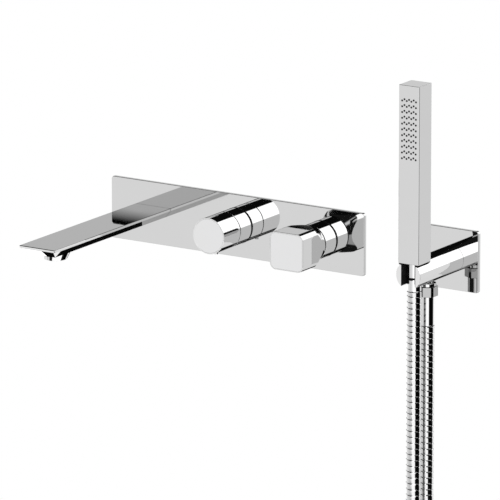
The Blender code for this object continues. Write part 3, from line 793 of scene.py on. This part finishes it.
SKY_X, SKY_Y, SKY_Z = sep.outputs["X"], sep.outputs["Y"], sep.outputs["Z"]


def angle_round(up, along):
    """Angle of a direction about one axis, from 0 to 1."""
    return op('MULTIPLY_ADD', op('ARCTAN2', up, along), 1 / (2 * math.pi), 0.5)


def ring_ramp(src, stops):
    """Brightness of the studio round one axis; angles in degrees from +X."""
    cr = wn.new("ShaderNodeValToRGB")
    els = cr.color_ramp.elements
    while len(els) > 1:
        els.remove(els[-1])
    for k, (ang, v) in enumerate(stops):
        p = (ang + 180.0) / 360.0
        e = els[0] if k == 0 else els.new(p)
        e.position = p
        e.color = (v, v, v, 1)
    wl.new(src, cr.inputs["Fac"])
    return cr.outputs["Color"]


def blend(fac, a, b):
    """Colour a where the factor is 0, b where it is 1."""
    nd = wn.new("ShaderNodeMix")
    nd.data_type = 'RGBA'
    wl.new(fac, nd.inputs[0])
    wl.new(a, nd.inputs[6])
    if isinstance(b, float):
        nd.inputs[7].default_value = (b, b, b, 1)
    else:
        wl.new(b, nd.inputs[7])
    return nd.outputs[2]


def patch(d, radius, soft=800.0):
    """Round area of the studio centred on direction d."""
    dot = op('ADD', op('ADD', op('MULTIPLY', SKY_X, d[0]), op('MULTIPLY', SKY_Y, d[1])),
             op('MULTIPLY', SKY_Z, d[2]))
    return op('MULTIPLY_ADD', op('SUBTRACT', dot, math.cos(math.radians(radius))), soft, 0.5, True)


def above(src, edge):
    """1 where the value is over the edge, 0 under it, with a soft change."""
    return op('MULTIPLY_ADD', op('SUBTRACT', src, edge), 60.0, 0.5, True)


def below(src, edge):
    return op('SUBTRACT', 1.0, above(src, edge))


BLACK, SPOT_BLACK, RING_BLACK = 0.003, 0.002, 0.01
turn = angle_round(SKY_Z, SKY_X)
level = angle_round(SKY_Y, SKY_X)
lp = wn.new("ShaderNodeLightPath")
# what the camera sees in the first mirror, and what shows there at second hand
first = op('LESS_THAN', lp.outputs["Ray Depth"], 2.5)
second = op('SUBTRACT', 1.0, first)

# bands about the axis square to the wall: dark, grey floor, bright upper half
front = ring_ramp(turn, [(-180, BLACK), (-95, BLACK), (-91, 0.60), (0, 0.60), (3, 1.5), (86, 1.5),
                         (89, BLACK), (180, BLACK)])
rear = ring_ramp(turn, [(-180, BLACK), (-95, BLACK), (-91, 0.70), (0, 0.72), (3, 1.3), (86, 1.3),
                        (89, BLACK), (180, BLACK)])
sky = blend(op('MULTIPLY_ADD', SKY_Y, 8.0, 0.5, True), front, rear)
behind = op('MULTIPLY', above(SKY_Y, 0.05), below(SKY_Y, 0.72))
sky = blend(op('MULTIPLY', behind, above(SKY_Z, 0.1)), sky, BLACK)

# what fittings mirror of each other
fittings = ring_ramp(turn, [(-180, RING_BLACK), (-62, RING_BLACK), (-56, 0.35), (-12, 0.35), (-6, RING_BLACK),
                            (40, RING_BLACK), (46, 0.7), (54, 0.7), (60, RING_BLACK), (180, RING_BLACK)])
sky = blend(op('MULTIPLY', second, above(SKY_Y, -0.74)), sky, fittings)
sky = blend(patch((-0.967, 0.08, -0.243), 14.0), sky, 0.35)

# what upright round pieces and the aerator mirror directly
upright = ring_ramp(level, [(-180, 0.78), (-88, 0.78), (-84, 1.1), (-36, 1.1), (-31, SPOT_BLACK),
                            (47, SPOT_BLACK), (51, 1.1), (180, 1.1)])
off = op('ABSOLUTE', op('ADD', SKY_Z, 0.243))
reach = op('MULTIPLY_ADD', below(SKY_Y, 0.75), 0.36, 0.09)
sky = blend(op('MULTIPLY', below(op('SUBTRACT', off, reach), 0.0), first), sky, upright)
under = ring_ramp(level, [(-180, 0.5), (-121, 0.5), (-116, RING_BLACK), (-86, RING_BLACK), (-81, 1.2),
                          (14, 1.2), (21, RING_BLACK), (69, RING_BLACK), (74, 1.2), (180, 1.2)])
low = op('MULTIPLY', below(SKY_Z, -0.46), below(SKY_Y, 0.79))
sky = blend(op('MULTIPLY', low, first), sky, under)

# dark and light spots for the spout's underside and the aerator: direction, radius in degrees, brightness
for d, radius, value in (((-0.09, -0.94, -0.332), 4.0, SPOT_BLACK),
                         ((-0.39, 0.87, -0.31), 7.0, SPOT_BLACK), ((0.03, 0.888, -0.458), 5.0, 1.1)):
    sky = blend(op('MULTIPLY', patch(Vector(d).normalized(), radius), first), sky, value)
# what the spout's slope shows in the plate
sky = blend(patch(Vector((-0.178, -0.8068, -0.563)).normalized(), 1.3, 9000.0), sky, 0.52)
# grey cards straight in the mirror directions of the plates, of level tops and of the stick's side
for d, radius, value in (((-back.x, back.y, -back.z), 13.0, 0.45), ((-back.x, back.y, -back.z), 5.0, 0.80),
                         ((-back.x, -back.y, back.z), 5.0, 0.60), ((back.x, -back.y, -back.z), 8.0, 0.72)):
    sky = blend(patch(d, radius), sky, value)
bg = wn.new("ShaderNodeBackground")
wl.new(blend(lp.outputs["Is Camera Ray"], sky, 1.0), bg.inputs["Color"])
out = wn.new("ShaderNodeOutputWorld")
wl.new(bg.outputs["Background"], out.inputs["Surface"])
bpy.context.scene.view_settings.view_transform = 'Standard'
bpy.context.scene.view_settings.look = 'None'
